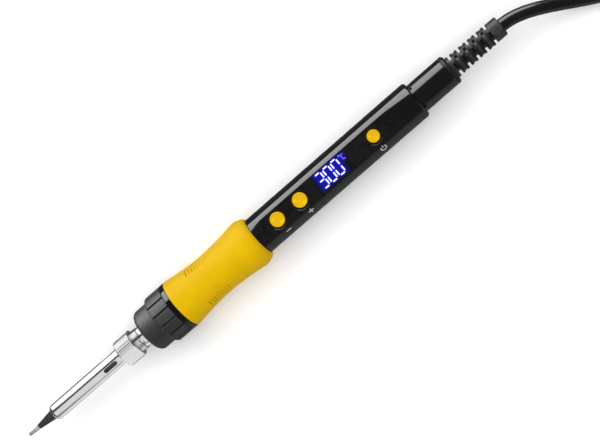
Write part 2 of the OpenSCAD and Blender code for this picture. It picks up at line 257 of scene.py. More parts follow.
def around(piece, angles):
    """Copies of a piece that was modelled on top of the tool, turned round its axis, as one."""
    copies = []
    for i, angle in enumerate(angles):
        twin = copy_of(piece, f"{piece.name}_{i}")
        turn_round(twin, angle)
        copies.append(twin)
    bpy.data.objects.remove(piece)
    return join(copies)


def cut(piece, cutter, operation="DIFFERENCE"):
    change = piece.modifiers.new("cut", "BOOLEAN")
    change.operation = operation
    change.object = cutter
    change.solver = "EXACT"
    activate(piece)
    bpy.ops.object.modifier_apply(modifier=change.name)
    bpy.data.objects.remove(cutter)


def soften(piece, width, angle=30, segments=2):
    """Rounds the edges that are sharper than the angle."""
    change = piece.modifiers.new("soften", "BEVEL")
    change.width = width * MM
    change.segments = segments
    change.limit_method = "ANGLE"
    change.angle_limit = math.radians(angle)
    change.use_clamp_overlap = True
    change.harden_normals = False
    activate(piece)
    bpy.ops.object.modifier_apply(modifier=change.name)


def smooth(piece, angle=28):
    activate(piece)
    bpy.ops.object.shade_smooth_by_angle(angle=math.radians(angle))


def place(piece, body, slot, finish, *nodes):
    """Finishes a piece: its body, its finish and the plain parts that it stands for; the slot is not used.
    """
    piece.data.materials.clear()
    piece.data.materials.append(finish)
    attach(piece, body)
    if nodes:
        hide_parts(*nodes)
    return piece


# ---- Camera ----

aim = Vector((0.01815, -0.0076, 0.01225))
distance = 0.627
lean = math.radians(8.2)
turn = math.radians(40.9)
along = Vector((math.cos(lean), 0, -math.sin(lean)))
beside = Vector((0, 1, 0))
back = Vector((math.sin(lean), 0, math.cos(lean)))
right = along * math.cos(turn) - beside * math.sin(turn)
up = along * math.sin(turn) + beside * math.cos(turn)
camera_data = bpy.data.cameras.new("camera")
camera_data.sensor_width = 36
camera_data.lens = 85.5
camera_data.clip_start = 0.01
camera = bpy.data.objects.new("camera", camera_data)
facing = Matrix((right, up, back)).transposed().to_4x4()
camera.matrix_world = Matrix.Translation(aim + back * distance) @ facing
bpy.context.scene.collection.objects.link(camera)
bpy.context.scene.camera = camera
bpy.context.scene.view_settings.view_transform = "Standard"


# ---- Finishes ----


class Nodes:
    """Short ways to make and link the nodes of one finish."""

    def __init__(self, name):
        self.finish = bpy.data.materials.new(name)
        self.finish.use_nodes = True
        self.tree = self.finish.node_tree
        self.shader = self.tree.nodes["Principled BSDF"]
        self.where = self.add("ShaderNodeTexCoord").outputs["Object"]

    def add(self, kind, **settings):
        node = self.tree.nodes.new(kind)
        for key, value in settings.items():
            setattr(node, key, value)
        return node

    def link(self, source, target):
        self.tree.links.new(source, target)

    def stretched(self, scale):
        node = self.add("ShaderNodeMapping")
        node.inputs["Scale"].default_value = scale
        self.link(self.where, node.inputs["Vector"])
        return node.outputs["Vector"]

    def noise(self, scale, detail=3, vector=None):
        node = self.add("ShaderNodeTexNoise")
        node.inputs["Scale"].default_value = scale
        node.inputs["Detail"].default_value = detail
        self.link(vector or self.where, node.inputs["Vector"])
        return node.outputs["Fac"]

    def spread(self, value, low, high, start=0.0, end=1.0):
        node = self.add("ShaderNodeMapRange")
        self.link(value, node.inputs["Value"])
        node.inputs["From Min"].default_value = low
        node.inputs["From Max"].default_value = high
        node.inputs["To Min"].default_value = start
        node.inputs["To Max"].default_value = end
        return node.outputs["Result"]

    def maths(self, operation, first, second):
        node = self.add("ShaderNodeMath", operation=operation)
        for socket, value in zip(node.inputs, (first, second)):
            if isinstance(value, (int, float)):
                socket.default_value = value
            else:
                self.link(value, socket)
        return node.outputs["Value"]

    def mix(self, amount, first, second):
        node = self.add("ShaderNodeMix", data_type="RGBA")
        if isinstance(amount, (int, float)):
            node.inputs["Factor"].default_value = amount
        else:
            self.link(amount, node.inputs["Factor"])
        for socket, value in ((node.inputs["A"], first), (node.inputs["B"], second)):
            if isinstance(value, (tuple, list)):
                socket.default_value = (*value, 1)
            else:
                self.link(value, socket)
        return node.outputs["Result"]

    def parts_of_where(self):
        node = self.add("ShaderNodeSeparateXYZ")
        self.link(self.where, node.inputs["Vector"])
        return node.outputs

    def edges(self, low=0.52, high=0.6):
        """1 on sharp outer edges: where the surface is rubbed, and on the buttons where a painted highlight
        is laid on the rims.
        """
        node = self.add("ShaderNodeNewGeometry")
        return self.spread(node.outputs["Pointiness"], low, high)


def tone(colour, amount):
    return tuple(min(1.0, c * amount) for c in colour)


def make_finish(
    name,
    colour,
    rough,
    metal=0.0,
    vary=0.08,
    mottle=90,
    grain=2500,
    grain_depth=0.004,
    rough_vary=0.05,
    edge_wear_and_highlight=None,
    edge_wear_and_highlight_amount=0.5,
    brushed=None,
    coat=0.0,
    specular=0.5,
    sheen=0.0,
    ior=1.5,
):
    """A finish with uneven colour, uneven gloss, a fine surface grain and lighter edges: rubbed edges, and
    on the buttons a painted highlight on the rims.
    """
    n = Nodes(name)
    shader = n.shader
    shader.inputs["Metallic"].default_value = metal
    shader.inputs["Specular IOR Level"].default_value = specular
    shader.inputs["IOR"].default_value = ior
    shader.inputs["Coat Weight"].default_value = coat
    shader.inputs["Coat Roughness"].default_value = 0.04
    shader.inputs["Sheen Weight"].default_value = sheen
    cloud = n.spread(n.noise(mottle, 4), 0.3, 0.7)
    base = n.mix(cloud, tone(colour, 1 - vary), tone(colour, 1 + vary))
    # Lighter colour on sharp edges: wear on most finishes, and a painted highlight on the buttons' rims.
    if edge_wear_and_highlight:
        edge_wear_and_highlight_mask = n.maths("MULTIPLY", n.edges(), n.spread(n.noise(900, 3), 0.35, 0.65, 0.2, 1))
        base = n.mix(n.maths("MULTIPLY", edge_wear_and_highlight_mask, edge_wear_and_highlight_amount), base, edge_wear_and_highlight)
    n.link(base, shader.inputs["Base Color"])
    vector = n.stretched(brushed) if brushed else None
    fine = n.noise(grain, 3, vector)
    broad = n.noise(220, 2)
    both = n.maths("ADD", n.maths("MULTIPLY", fine, 0.6), n.maths("MULTIPLY", broad, 0.4))
    n.link(n.spread(both, 0.3, 0.7, rough - rough_vary, rough + rough_vary), shader.inputs["Roughness"])
    bump = n.add("ShaderNodeBump")
    bump.inputs["Strength"].default_value = 0.6
    bump.inputs["Distance"].default_value = grain_depth * MM
    n.link(fine, bump.inputs["Height"])
    n.link(bump.outputs["Normal"], shader.inputs["Normal"])
    return n.finish


def make_tip_finish():
    """Bright tin at the very end, dark plated iron above it, with a ragged line between them."""
    n = Nodes("tip_finish")
    x = n.parts_of_where()["X"]
    ragged = n.maths("MULTIPLY", n.noise(900, 3), 0.0012)
    line = n.maths("ADD", x, ragged)
    dark = n.spread(line, x_at(5.9) + 0.0004, x_at(5.9) + 0.0009)
    tin = n.mix(n.spread(n.noise(700, 4), 0.35, 0.65), (0.5, 0.5, 0.51), (0.68, 0.68, 0.69))
    iron = n.mix(n.spread(n.noise(500, 4), 0.35, 0.65), (0.042, 0.042, 0.044), (0.062, 0.062, 0.065))
    n.link(n.mix(dark, tin, iron), n.shader.inputs["Base Color"])
    n.shader.inputs["Metallic"].default_value = 0.75
    n.shader.inputs["Specular IOR Level"].default_value = 0.5
    gloss = n.noise(1800, 3)
    rough = n.maths("ADD", n.spread(dark, 0, 1, 0.22, 0.5), n.maths("MULTIPLY", gloss, 0.1))
    n.link(rough, n.shader.inputs["Roughness"])
    bump = n.add("ShaderNodeBump")
    bump.inputs["Strength"].default_value = 0.7
    bump.inputs["Distance"].default_value = 0.00003
    n.link(n.noise(1300, 3), bump.inputs["Height"])
    n.link(bump.outputs["Normal"], n.shader.inputs["Normal"])
    return n.finish


def make_display_finish():
    """Black glass that glows blue behind the figures and fades out round them."""
    n = Nodes("window_finish")
    place_of = n.parts_of_where()
    patches = []
    for middle_x, half_x, middle_y, half_y in ((183.2, 7.3, 0.0, 4.3), (190.9, 2.4, 2.3, 2.0)):
        across_x = n.maths("ABSOLUTE", n.maths("SUBTRACT", place_of["X"], x_at(middle_x)), 0)
        across_y = n.maths("ABSOLUTE", n.maths("SUBTRACT", place_of["Y"], middle_y * MM), 0)
        reach_x = n.maths("SUBTRACT", across_x, half_x * MM)
        reach_y = n.maths("SUBTRACT", across_y, half_y * MM)
        patches.append(n.maths("MAXIMUM", reach_x, reach_y))
    outside = n.maths("MINIMUM", patches[0], patches[1])
    glow = n.spread(outside, -0.0016, 0.0007, 1, 0)
    uneven = n.spread(n.noise(500, 2), 0.3, 0.7, 0.8, 1.15)
    n.shader.inputs["Emission Color"].default_value = (0.001, 0.001, 0.36, 1)
    n.link(n.maths("MULTIPLY", glow, uneven), n.shader.inputs["Emission Strength"])
    glass = n.mix(n.spread(n.noise(300, 2), 0.3, 0.7), (0.003, 0.003, 0.006), (0.005, 0.005, 0.01))
    n.link(glass, n.shader.inputs["Base Color"])
    n.shader.inputs["Specular IOR Level"].default_value = 0.5
    n.link(n.spread(n.noise(900, 3), 0.3, 0.7, 0.04, 0.09), n.shader.inputs["Roughness"])
    bump = n.add("ShaderNodeBump")
    bump.inputs["Strength"].default_value = 0.2
    bump.inputs["Distance"].default_value = 0.000002
    n.link(n.noise(1500, 2), bump.inputs["Height"])
    n.link(bump.outputs["Normal"], n.shader.inputs["Normal"])
    return n.finish


def make_lit_finish(name, colour, strength):
    """A lit figure on the display, a little uneven along its strokes."""
    n = Nodes(name)
    n.shader.inputs["Base Color"].default_value = (*tone(colour, 0.5), 1)
    n.shader.inputs["Emission Color"].default_value = (*colour, 1)
    lit = n.spread(n.noise(1200, 2), 0.3, 0.7, strength * 0.9, strength * 1.1)
    n.link(lit, n.shader.inputs["Emission Strength"])
    n.link(n.spread(n.noise(900, 2), 0.3, 0.7, 0.2, 0.3), n.shader.inputs["Roughness"])
    return n.finish


TURNED = (9, 0.35, 0.35)
finishes = {
    "tip": make_tip_finish(),
    "sleeve": make_finish("sleeve_finish", (0.78, 0.78, 0.79), 0.12, 1, 0.04, grain=700, grain_depth=0.0006,
                          rough_vary=0.04, edge_wear_and_highlight=(0.85, 0.85, 0.86), brushed=TURNED),
    "nut": make_finish("nut_finish", (0.82, 0.82, 0.83), 0.13, 1, 0.05, grain=700, grain_depth=0.0006,
                       edge_wear_and_highlight=(0.9, 0.9, 0.9), brushed=TURNED),
    "nipple": make_finish("nipple_finish", (0.74, 0.74, 0.75), 0.14, 1, 0.05, grain=700, grain_depth=0.0006,
                          edge_wear_and_highlight=(0.8, 0.8, 0.8), brushed=TURNED),
    "collar": make_finish("collar_finish", (0.019, 0.019, 0.0195), 0.5, vary=0.12, grain=3500,
                          grain_depth=0.012, edge_wear_and_highlight=(0.04, 0.04, 0.041)),
    "handle": make_finish("handle_finish", (0.0035, 0.0035, 0.004), 0.09, vary=0.2, grain=2600,
                          grain_depth=0.001, rough_vary=0.03, edge_wear_and_highlight=(0.012, 0.012, 0.013)),
    "grip": make_finish("grip_finish", (0.61, 0.372, 0.0), 0.5, vary=0.05, grain=2800, grain_depth=0.014,
                        edge_wear_and_highlight=(0.75, 0.46, 0.01), edge_wear_and_highlight_amount=0.4, specular=0.05),
    # The buttons' lighter edge colour is a painted highlight on their rims, not wear.
    "button": make_finish("button_finish", (0.62, 0.362, 0.0), 0.4, vary=0.05, grain=3000, grain_depth=0.002,
                          edge_wear_and_highlight=(0.85, 0.55, 0.03), edge_wear_and_highlight_amount=0.9, specular=0.08),
    "display": make_display_finish(),
    "figure": make_lit_finish("figure_finish", (0.75, 0.8, 1.0), 1.15),
    "halo": make_lit_finish("halo_finish", (0.05, 0.05, 1.0), 0.9),
    "unit": make_lit_finish("unit_finish", (0.22, 0.25, 1.0), 0.6),
    "print": make_finish("print_finish", (0.5, 0.5, 0.51), 0.5, vary=0.15, grain=3000, grain_depth=0.003),
    "tail": make_finish("tail_finish", (0.004, 0.004, 0.0045), 0.14, vary=0.2, grain=2600, grain_depth=0.002,
                        rough_vary=0.04, edge_wear_and_highlight=(0.014, 0.014, 0.015)),
    "relief": make_finish("relief_finish", (0.007, 0.007, 0.0075), 0.38, vary=0.15, grain=3200,
                          grain_depth=0.006, edge_wear_and_highlight=(0.05, 0.05, 0.052), edge_wear_and_highlight_amount=0.8, specular=0.22),
    "cord": make_finish("cord_finish", (0.005, 0.005, 0.0055), 0.24, vary=0.2, grain=1500, grain_depth=0.006,
                        rough_vary=0.05),
    "tie": make_finish("tie_finish", (0.02, 0.02, 0.022), 0.8, vary=0.2, grain=3800, grain_depth=0.03,
                       sheen=0.3, edge_wear_and_highlight=(0.04, 0.04, 0.042)),
    "plug": make_finish("plug_finish", (0.009, 0.009, 0.0095), 0.38, vary=0.15, grain=2600,
                        grain_depth=0.012, edge_wear_and_highlight=(0.03, 0.03, 0.03)),
    "brass": make_finish("brass_finish", (0.62, 0.49, 0.22), 0.25, 1, 0.06, grain=900, grain_depth=0.003,
                         edge_wear_and_highlight=(0.8, 0.68, 0.4)),
}


# ---- Cord ----

CORD_R = 3.0
LEAD = [
    (139.75, 0, 12.25), (144, -0.5, 12.25), (149, -1.8, 12), (154, -3.8, 11.3), (159, -6.3, 10),
    (164, -9.1, 8.4), (169, -12, 6.7), (174, -14.9, 5.2), (179, -17.6, 4), (184, -20, 3.3),
    (190, -22.2, 3.02), (196, -23.5, 3), (203, -24, 3),
]
HANK_FROM = 212
HANK_RUN = 110
HANK_MIDDLE = HANK_FROM + HANK_RUN / 2
PINCH = 15


def eased(t):
    t = min(max(t, 0), 1)
    return t * t * (3 - 2 * t)


def lift_at(u):
    """The strands step up onto the tie that passes under them."""
    return 0.85 * (1 - eased((abs(u) - 6) / 12))


def hank_run(side, radius, low, high, count=16):
    """A run of the hank on one side of its middle line, pinched where it is tied."""
    points = []
    for i in range(count + 1):
        t = i / count
        u = side * (HANK_RUN / 2 - HANK_RUN * t)
        inward = PINCH * (1 - eased(abs(u) / (HANK_RUN / 2)))
        height = low + (high - low) * eased(t) + lift_at(u)
        points.append((HANK_MIDDLE + u, side * (radius - inward), height))
    return points


def hank_fold(x, start, first, last, height, rise=0.0, across=0.0, count=14):
    """A half turn at one end of the hank, from one radius to another."""
    points = []
    for i in range(1, count):
        t = i / count
        radius = first + (last - first) * eased(t)
        angle = math.radians(start + 180 * t)
        points.append((x + radius * math.cos(angle), across + radius * math.sin(angle), height + rise * t))
    return points


def last_run(count=16):
    """The last run climbs off the others once it is past the tie."""
    points = []
    for x, y, z in hank_run(-1, 24, 9, 9, count):
        points.append((x, y, z + 5 * eased((x - HANK_MIDDLE - 8) / 45)))
    return points


def to_the_plug(start, end, count=8):
    """An even double bend between two points on the way back towards the tie."""
    points = []
    for i in range(count + 1):
        t = i / count
        x = start[0] + (end[0] - start[0]) * t
        y = start[1] + (end[1] - start[1]) * eased(t)
        z = start[2] + (end[2] - start[2]) * eased(t)
        points.append((x, y, z))
    return points


far = HANK_FROM + HANK_RUN
route = list(LEAD)
for radius, next_radius, low, high in ((24, 18, 3, 3), (18, 18, 3, 9), (18, 24, 9, 9)):
    route += hank_run(-1, radius, low, low)
    route += hank_fold(far, -90, radius, radius, low)
    route += hank_run(1, radius, low, high)
    route += hank_fold(HANK_FROM, 90, radius, next_radius, high)
route += last_run()
route += hank_fold(far, -90, 18, 18, 14, 2, -6)
route += to_the_plug((far, 12, 16), (278, 8, 23.02))

deselect()
bpy.ops.curve.primitive_bezier_curve_add(radius=MM)
cord = bpy.context.object
cord.name = "mains_cord"
line = cord.data.splines[0]
line.bezier_points.add(len(route) - 2)
for point, (x, y, z) in zip(line.bezier_points, route):
    point.co = (x * MM, y * MM, z * MM)
    point.handle_left_type = "AUTO"
    point.handle_right_type = "AUTO"
cord.data.dimensions = "3D"
cord.data.twist_mode = "MINIMUM"
cord.data.resolution_u = 6
cord.data.bevel_depth = CORD_R * MM
cord.data.bevel_resolution = 8
cord.data.use_fill_caps = True
place(cord, "handle", "cord_sheath", finishes["cord"], "cord_lead", "cord_hank", "cord_end")


# ---- Tip, sleeve, nut and nipple ----

tip = turned("soldering_tip_piece", [
    (0, 0), (0, 0.9, 0.12), (5.9, 1.2, 4), (14.9, 2.4, 0.15), (15.5, 2.4), (16.9, 3.25, 0.3),
    (35, 3.25, 0.15), (35, 2.1, 0.1), (20, 2.1), (20, 0),
], 64)
for side in (-1, 1):
    wedge = block("wedge", (-1, 6), (-2, 2), (0, 2) if side > 0 else (-2, 0))
    turn_about(wedge, -9 * side, spot(-1, 0, 0), "Y")
    wedge.location.z = 0.28 * MM * side
    settle(wedge)
    cut(tip, wedge)
soften(tip, 0.05, 35)
smooth(tip, 30)
place(tip, "sleeve", "tip_iron", finishes["tip"], "soldering_tip")

sleeve = turned("tip_sleeve_piece", [(15.35, 2.5), (15.05, 2.5)] + arc(17.1, 1.7, 2.2, -65, 0, 10) + [
    (57.8, 3.9, 0.05), (57.8, 3.7), (60.2, 3.7), (60.2, 4.9, 0.12), (61.4, 4.9, 0.12), (61.4, 3.45),
    (18, 3.45),
] + arc(17.1, 1.7, 1.75, 0, -50, 6), 96)
vent = pill("vent", 50.8, 0, 1, 7.4, 2.05, 4)
cut(sleeve, around(vent, [12, 102, 192, 282]))
soften(sleeve, 0.07, 35)
smooth(sleeve, 30)
place(sleeve, "sleeve", "sleeve_steel", finishes["sleeve"], "tip_sleeve")

nut = turned("sleeve_nut_piece", [
    (58, 3.98, 0.1), (58, 6.4, 0.1), (58.5, 6.9, 0.1), (66.2, 6.9, 0.1), (66.6, 6.5, 0.1),
    (66.6, 5.52, 0.08), (61.5, 5.52), (61.5, 5.0), (60.1, 5.0), (60.1, 3.98),
], 192)
groove = block("groove", (57.5, 67.1), (-0.5, 0.5), (6.8, 7.8))
turn_about(groove, 45, spot(60, 0, 7.3))
cut(nut, around(groove, [7.5 * i + 3.75 for i in range(48)]))
flat = block("flat", (57, 68), (-8, 8), (6.2, 9))
cut(nut, around(flat, [29, 209]))
soften(nut, 0.035, 35)
smooth(nut, 30)
place(nut, "sleeve_nut", "nut_steel", finishes["nut"], "sleeve_nut")

nipple = turned("threaded_nipple_piece", [
    (61.5, 4.1, 0.1), (61.5, 5.0, 0.2), (70.2, 5.0), (70.7, 5.1, 0.3), (76, 5.1), (76, 8, 0.15),
    (77.6, 8, 0.15), (77.6, 4.1, 0.1),
], 96)
tooth = [Vector(p) for p in ((61.7, 4.95), (62.0, 5.42), (62.14, 5.42), (62.44, 4.95))]
thread = profile("thread", tooth, lambda p: spot(p.x, 0, p.y), True)
leave_edit()
bpy.context.scene.cursor.location = (0, 0, AXIS * MM)
activate(thread)
bpy.ops.object.origin_set(type="ORIGIN_CURSOR")
winding = thread.modifiers.new("winding", "SCREW")
winding.axis = "X"
winding.angle = math.tau
winding.screw_offset = 0.8 * MM
winding.iterations = 10
winding.steps = 64
winding.render_steps = 64
winding.use_merge_vertices = True
winding.merge_threshold = 0.000001
bpy.ops.object.modifier_apply(modifier=winding.name)
settle(thread)
edit(thread)
bpy.ops.mesh.select_all(action="SELECT")
bpy.ops.mesh.fill_holes(sides=0)
leave_edit()
tidy(thread)
nipple = join([nipple, thread])
smooth(nipple, 30)
place(nipple, "barrel", "nipple_steel", finishes["nipple"], "threaded_nipple")


# ---- Front collar ----

collar = turned("front_collar_piece", arc(75.75, 7.83, 2.75, -90, 0, 12) + [
    (80.4, 10.58, 2), (81.9, 10.75, 1.5), (82.5, 11.08), (91.1, 11.08, 0.1), (91.1, 8.7), (78.4, 8.7),
    (78.4, 8.15), (75.9, 8.15), (75.9, 5.25), (73, 5.25, 0.3),
], 112)
panel = block("panel", (81.9, 91.1), (-2.22, 2.22), (10.4, 11.97))
select(panel, "EDGE", lambda e: all(p.z > (AXIS + 11) * MM and p.x < x_at(82) for p in ends_of(panel, e)))
bpy.ops.mesh.bevel(offset=1.0 * MM, segments=6, affect="EDGES")
leave_edit()
soften(panel, 0.2, 40, 3)
collar = join([collar, around(panel, [360 / 14 * i for i in range(14)])])
smooth(collar, 30)
place(collar, "front_collar", "collar_plastic", finishes["collar"], "front_collar")


# ---- Handle ----

BUTTONS = {"minus": (152.5, 3.4), "plus": (165.5, 3.4), "power": (207.8, 2.9)}
FLAT = 7.67

handle = turned("handle_shell_piece", [
    (78.6, 6.5, 0.1), (78.6, 8.2), (79, 8.6), (91.3, 8.6), (91.3, 12.15, 0.3), (93.6, 12.15, 0.3),
    (93.6, 8.5), (139, 8.5), (139.5, 9.05),
] + arc(230.7, 7.65, 1.4, 0, 90, 8) + [(232.1, 7.15, 0.12), (218, 7.15), (218, 6.5)], 160)
milled = block("milled", (149.9, 210.8), (-8, 8), (FLAT, 12))
cut(handle, milled)
for station in (149.9, 210.8):
    cut(handle, pill("round_end", station, 0, FLAT, 9.8, 9.8, 5, 96))
opening = block("opening", (175.2, 193.2), (-4.6, 4.6), (2, 12))
cut(handle, opening)
for station, r in BUTTONS.values():
    hole = turned_up("hole", station, [
        (0, 2), (r + 1.1, 2), (r + 1.1, 6.3), (r + 0.05, 6.3), (r + 0.05, FLAT - 0.9), (r + 1.11, FLAT),
        (r + 1.5, FLAT + 0.33), (r + 1.5, 10), (0, 10),
    ])
    cut(handle, hole)
soften(handle, 0.09, 28)
rails = [block("rail", (104, 214), (y - 0.55, y + 0.55), (-1.9, -1.05)) for y in (-5.95, 5.95)]
handle = join([handle] + rails)
smooth(handle, 26)
place(handle, "handle", "handle_plastic", finishes["handle"], "handle_shell")

grip_outline = [(93.62, 8.52), (93.62, 12.25, 0.4)]
for i in range(2, 21):
    t = 1 - i / 20
    grip_outline.append((113.9 - t * 20.3, 10.3 + 1.95 * t**1.6))
for i in range(1, 21):
    t = i / 20
    grip_outline.append((113.9 + t * 20.5, 10.3 + 1.68 * t**1.9))
grip_outline += [
    (135.6, 11.9, 0.6), (136.8, 11.62, 1.2), (138.9, 10.75, 1.5), (140.05, 9.6, 0.3), (140.05, 9.07),
    (139.5, 9.07), (138.95, 8.52),
]
grip = turned("grip_sleeve_piece", grip_outline, 128)
slits = []
for i in range(8):
    slits.append(block("slit", (105.2 + 1.6 * i, 105.8 + 1.6 * i), (-2.2, 2.2), (10, 14)))
slit_band = join(slits)
cut(grip, around(slit_band, [-55, 55]))
soften(grip, 0.08, 40)
smooth(grip, 30)
place(grip, "handle", "grip_silicone", finishes["grip"], "grip_sleeve")


# ---- Display ----

window = block("display_window_piece", (175.24, 193.16), (-4.56, 4.56), (6.1, FLAT - 0.03))
soften(window, 0.12, 40, 3)
smooth(window)
place(window, "handle", "window_lens", finishes["display"], "display_window")

# Where the seven strokes of a figure lie, and which of them are lit
STROKES = {
    "top": (0, 1, True), "middle": (0, 0, True), "bottom": (0, -1, True), "upper_right": (1, 0.5, False),
    "lower_right": (1, -0.5, False), "upper_left": (-1, 0.5, False), "lower_left": (-1, -0.5, False),
}
ZERO = ["top", "bottom", "upper_right", "lower_right", "upper_left", "lower_left"]
THREE = ["top", "middle", "bottom", "upper_right", "lower_right"]


def stroke(name, station, across, length, width, lies_along, above, thick):
    """A flat bar with pointed ends."""
    bar = block(name, (station - length / 2, station + length / 2), (across - width / 2, across + width / 2),
                (above, above + thick))
    select(bar, "EDGE", lambda e: abs(ends_of(bar, e)[0].z - ends_of(bar, e)[1].z) > thick * MM / 2)
    bpy.ops.mesh.bevel(offset=width * 0.42 * MM, segments=1, affect="EDGES")
    leave_edit()
    if not lies_along:
        turn_about(bar, 90, spot(station, across, 0), "Z")
    return bar


def figure(name, station, lit, half_width, half_height, width, gap, above, thick, across=0.0):
    """One seven-stroke figure as a single flat piece."""
    bars = []
    for key in lit:
        dx, dy, lies_along = STROKES[key]
        length = (2 * half_width if lies_along else half_height) - gap
        middle = (station + dx * half_width, across + dy * half_height)
        bars.append(stroke(key, *middle, length, width, lies_along, above, thick))
    piece = join(bars)
    piece.name = name
    return piece


GLASS = FLAT - 0.03
halos = []
figures = []
for name, station, lit in (("three", 178.5, THREE), ("zero_1", 182.95, ZERO), ("zero_2", 187.4, ZERO)):
    halos.append(figure("halo_" + name, station, lit, 1.55, 3.5, 0.98, 0.3, GLASS - 0.02, 0.035))
    figures.append(figure("figure_" + name, station, lit, 1.55, 3.5, 0.54, 0.9, GLASS - 0.02, 0.06))
letter = ["top", "bottom", "upper_left", "lower_left"]
unit = [figure("figure_unit", 192.1, letter, 0.55, 1.1, 0.26, -0.2, GLASS - 0.02, 0.06, 2.1)]
ring_mark = turned_up("figure_degree", 190.75, [
    (0.22, GLASS - 0.02), (0.42, GLASS - 0.02), (0.42, GLASS + 0.04), (0.22, GLASS + 0.04),
], 24)
ring_mark.location.y = 3.4 * MM
settle(ring_mark)
unit = join(unit + [ring_mark])
unit.name = "display_unit"
place(unit, "handle", "window_lens", finishes["unit"])
halo = join(halos)
halo.name = "display_glow"
place(halo, "handle", "window_lens", finishes["halo"])
figures = join(figures)
figures.name = "display_figures"
place(figures, "handle", "window_lens", finishes["figure"])


# ---- Buttons and their marks ----

for name, (station, r) in BUTTONS.items():
    button = turned_up(f"{name}_button_piece", station, [
        (0, 4.22), (1.3, 4.22), (1.3, 5.4), (r + 0.75, 5.4, 0.1), (r + 0.75, 6.26, 0.1), (r, 6.26),
        (r, 7.8, 0.12), (r - 0.3, 8.14, 0.14), (r - 0.55, 8.14, 0.1), (r - 0.72, 8.02, 0.06), (0, 8.02),
    ], 96)
    smooth(button, 30)
    place(button, f"{name}_button", "button_plastic", finishes["button"], f"{name}_button")


def mark_bar(length, width, station):
    """A small printed bar, on the top line of the tool until it is turned to its place."""
    bar = block("bar", (station - length / 2, station + length / 2), (-width / 2, width / 2), (8.98, 9.075))
    soften(bar, 0.03, 40, 1)
    return bar


marks = {
    "minus": [mark_bar(2.6, 0.52, 153.2)],
    "plus": [mark_bar(2.6, 0.52, 166.2), mark_bar(0.52, 2.6, 166.2)],
    "power": [mark_bar(0.42, 1.4, 207.8)],
}
marks["power"][0].location.y = 0.9 * MM
settle(marks["power"][0])
loop = turned_up("loop", 207.8, [(1.1, 8.98), (1.52, 8.98), (1.52, 9.075), (1.1, 9.075)], 48)
select(loop, "FACE", lambda f: f.center.y > 0.0009)
bpy.ops.mesh.delete(type="FACE")
bpy.ops.mesh.select_all(action="SELECT")
bpy.ops.mesh.fill_holes(sides=0)
leave_edit()
marks["power"].append(loop)
for name, parts in marks.items():
    mark = join(parts)
    mark.name = f"{name}_mark"
    turn_round(mark, 47.5)
    place(mark, "handle", "lead_white", finishes["print"])


# ---- Tail and strain relief ----

tail = turned("tail_plug_piece", [(218.6, 5.6), (218.6, 7.05, 0.3), (232.15, 7.05), (232.25, 7.1)]
              + arc(249.3, 6.7, 0.4, 0, 90, 5) + [(249.7, 4.05, 0.1), (247.7, 4.05), (247.7, 5.6)], 112)
notch = block("notch", (232.3, 233.5), (-0.7, 0.7), (6.3, 8.3))
cut(tail, around(notch, [-44, 44]))
soften(tail, 0.06, 35)
smooth(tail, 26)
place(tail, "handle", "tail_plastic", finishes["tail"], "tail_plug")

outline = [
    (245.6, 3.03), (245.6, 5.3, 0.2), (247.6, 5.3), (247.6, 4), (249.75, 4), (249.75, 7.15, 0.15),
    (251, 7.15, 0.25), (251.9, 6.3, 0.2), (251.9, 5.2), (253.25, 5.2), (253.25, 4.3),
]
for i in range(4):
    start = 254.5 + 4.9 * i
    rim = 5.05 - 0.05 * i
    outline += [
        (start, 4.3), (start, rim, 0.22), (start + 1.18, rim, 0.22), (start + 1.18, 4.62),
        (start + 2.47, 4.62), (start + 2.47, rim, 0.22), (start + 3.65, rim, 0.22), (start + 3.65, 4.3),
    ]
outline += [(274.1, 4.3), (274.1, 4.75), (279.2, 4.75, 0.2), (279.5, 4.45, 0.1), (279.5, 3.03)]
relief = turned("strain_relief_piece", outline, 96)
gaps = []
for i in range(5):
    for low, high in ((0.95, 8), (-8, -0.95)):
        gaps.append(block("gap", (253.25 + 4.9 * i, 254.5 + 4.9 * i), (low, high), (-6, 6)))
gap_band = join(gaps)
turn_round(gap_band, -26)
cut(relief, gap_band)
windows = []
for i in range(4):
    windows.append(block("window", (255.65 + 4.9 * i, 256.95 + 4.9 * i), (-1.6, 1.6), (3, 8)))
cut(relief, around(join(windows), [-26, 154]))
soften(relief, 0.08, 40)
smooth(relief, 30)
place(relief, "handle", "relief_rubber", finishes["relief"], "strain_relief")


# ---- Cord tie and plug ----


def box_at(name, low, high):
    """A box between two corners given in the frame."""
    low = Vector(low) * MM
    high = Vector(high) * MM
    deselect()
    bpy.ops.mesh.primitive_cube_add(size=1, location=(low + high) / 2, scale=high - low)
    piece = bpy.context.object
    piece.name = name
    settle(piece)
    return piece


tie = box_at("cord_tie_piece", (262, -13.35, 0), (272, 13.35, 13.75))
select(tie, "EDGE", lambda e: abs(ends_of(tie, e)[0].x - ends_of(tie, e)[1].x) > 0.005)
bpy.ops.mesh.bevel(offset=2.2 * MM, segments=5, affect="EDGES")
leave_edit()
hollow = box_at("hollow", (255, -12.55, 0.8), (280, 12.55, 12.95))
select(hollow, "EDGE", lambda e: abs(ends_of(hollow, e)[0].x - ends_of(hollow, e)[1].x) > 0.005)
bpy.ops.mesh.bevel(offset=1.5 * MM, segments=5, affect="EDGES")
leave_edit()
cut(tie, hollow)
tab = box_at("tab", (262.3, -4, 13.7), (271.7, 12, 14.4))
soften(tab, 0.25, 40, 2)
tie = join([tie, tab])
soften(tie, 0.12, 40)
smooth(tie, 35)
place(tie, "handle", "tie_fabric", finishes["tie"], "cord_tie")

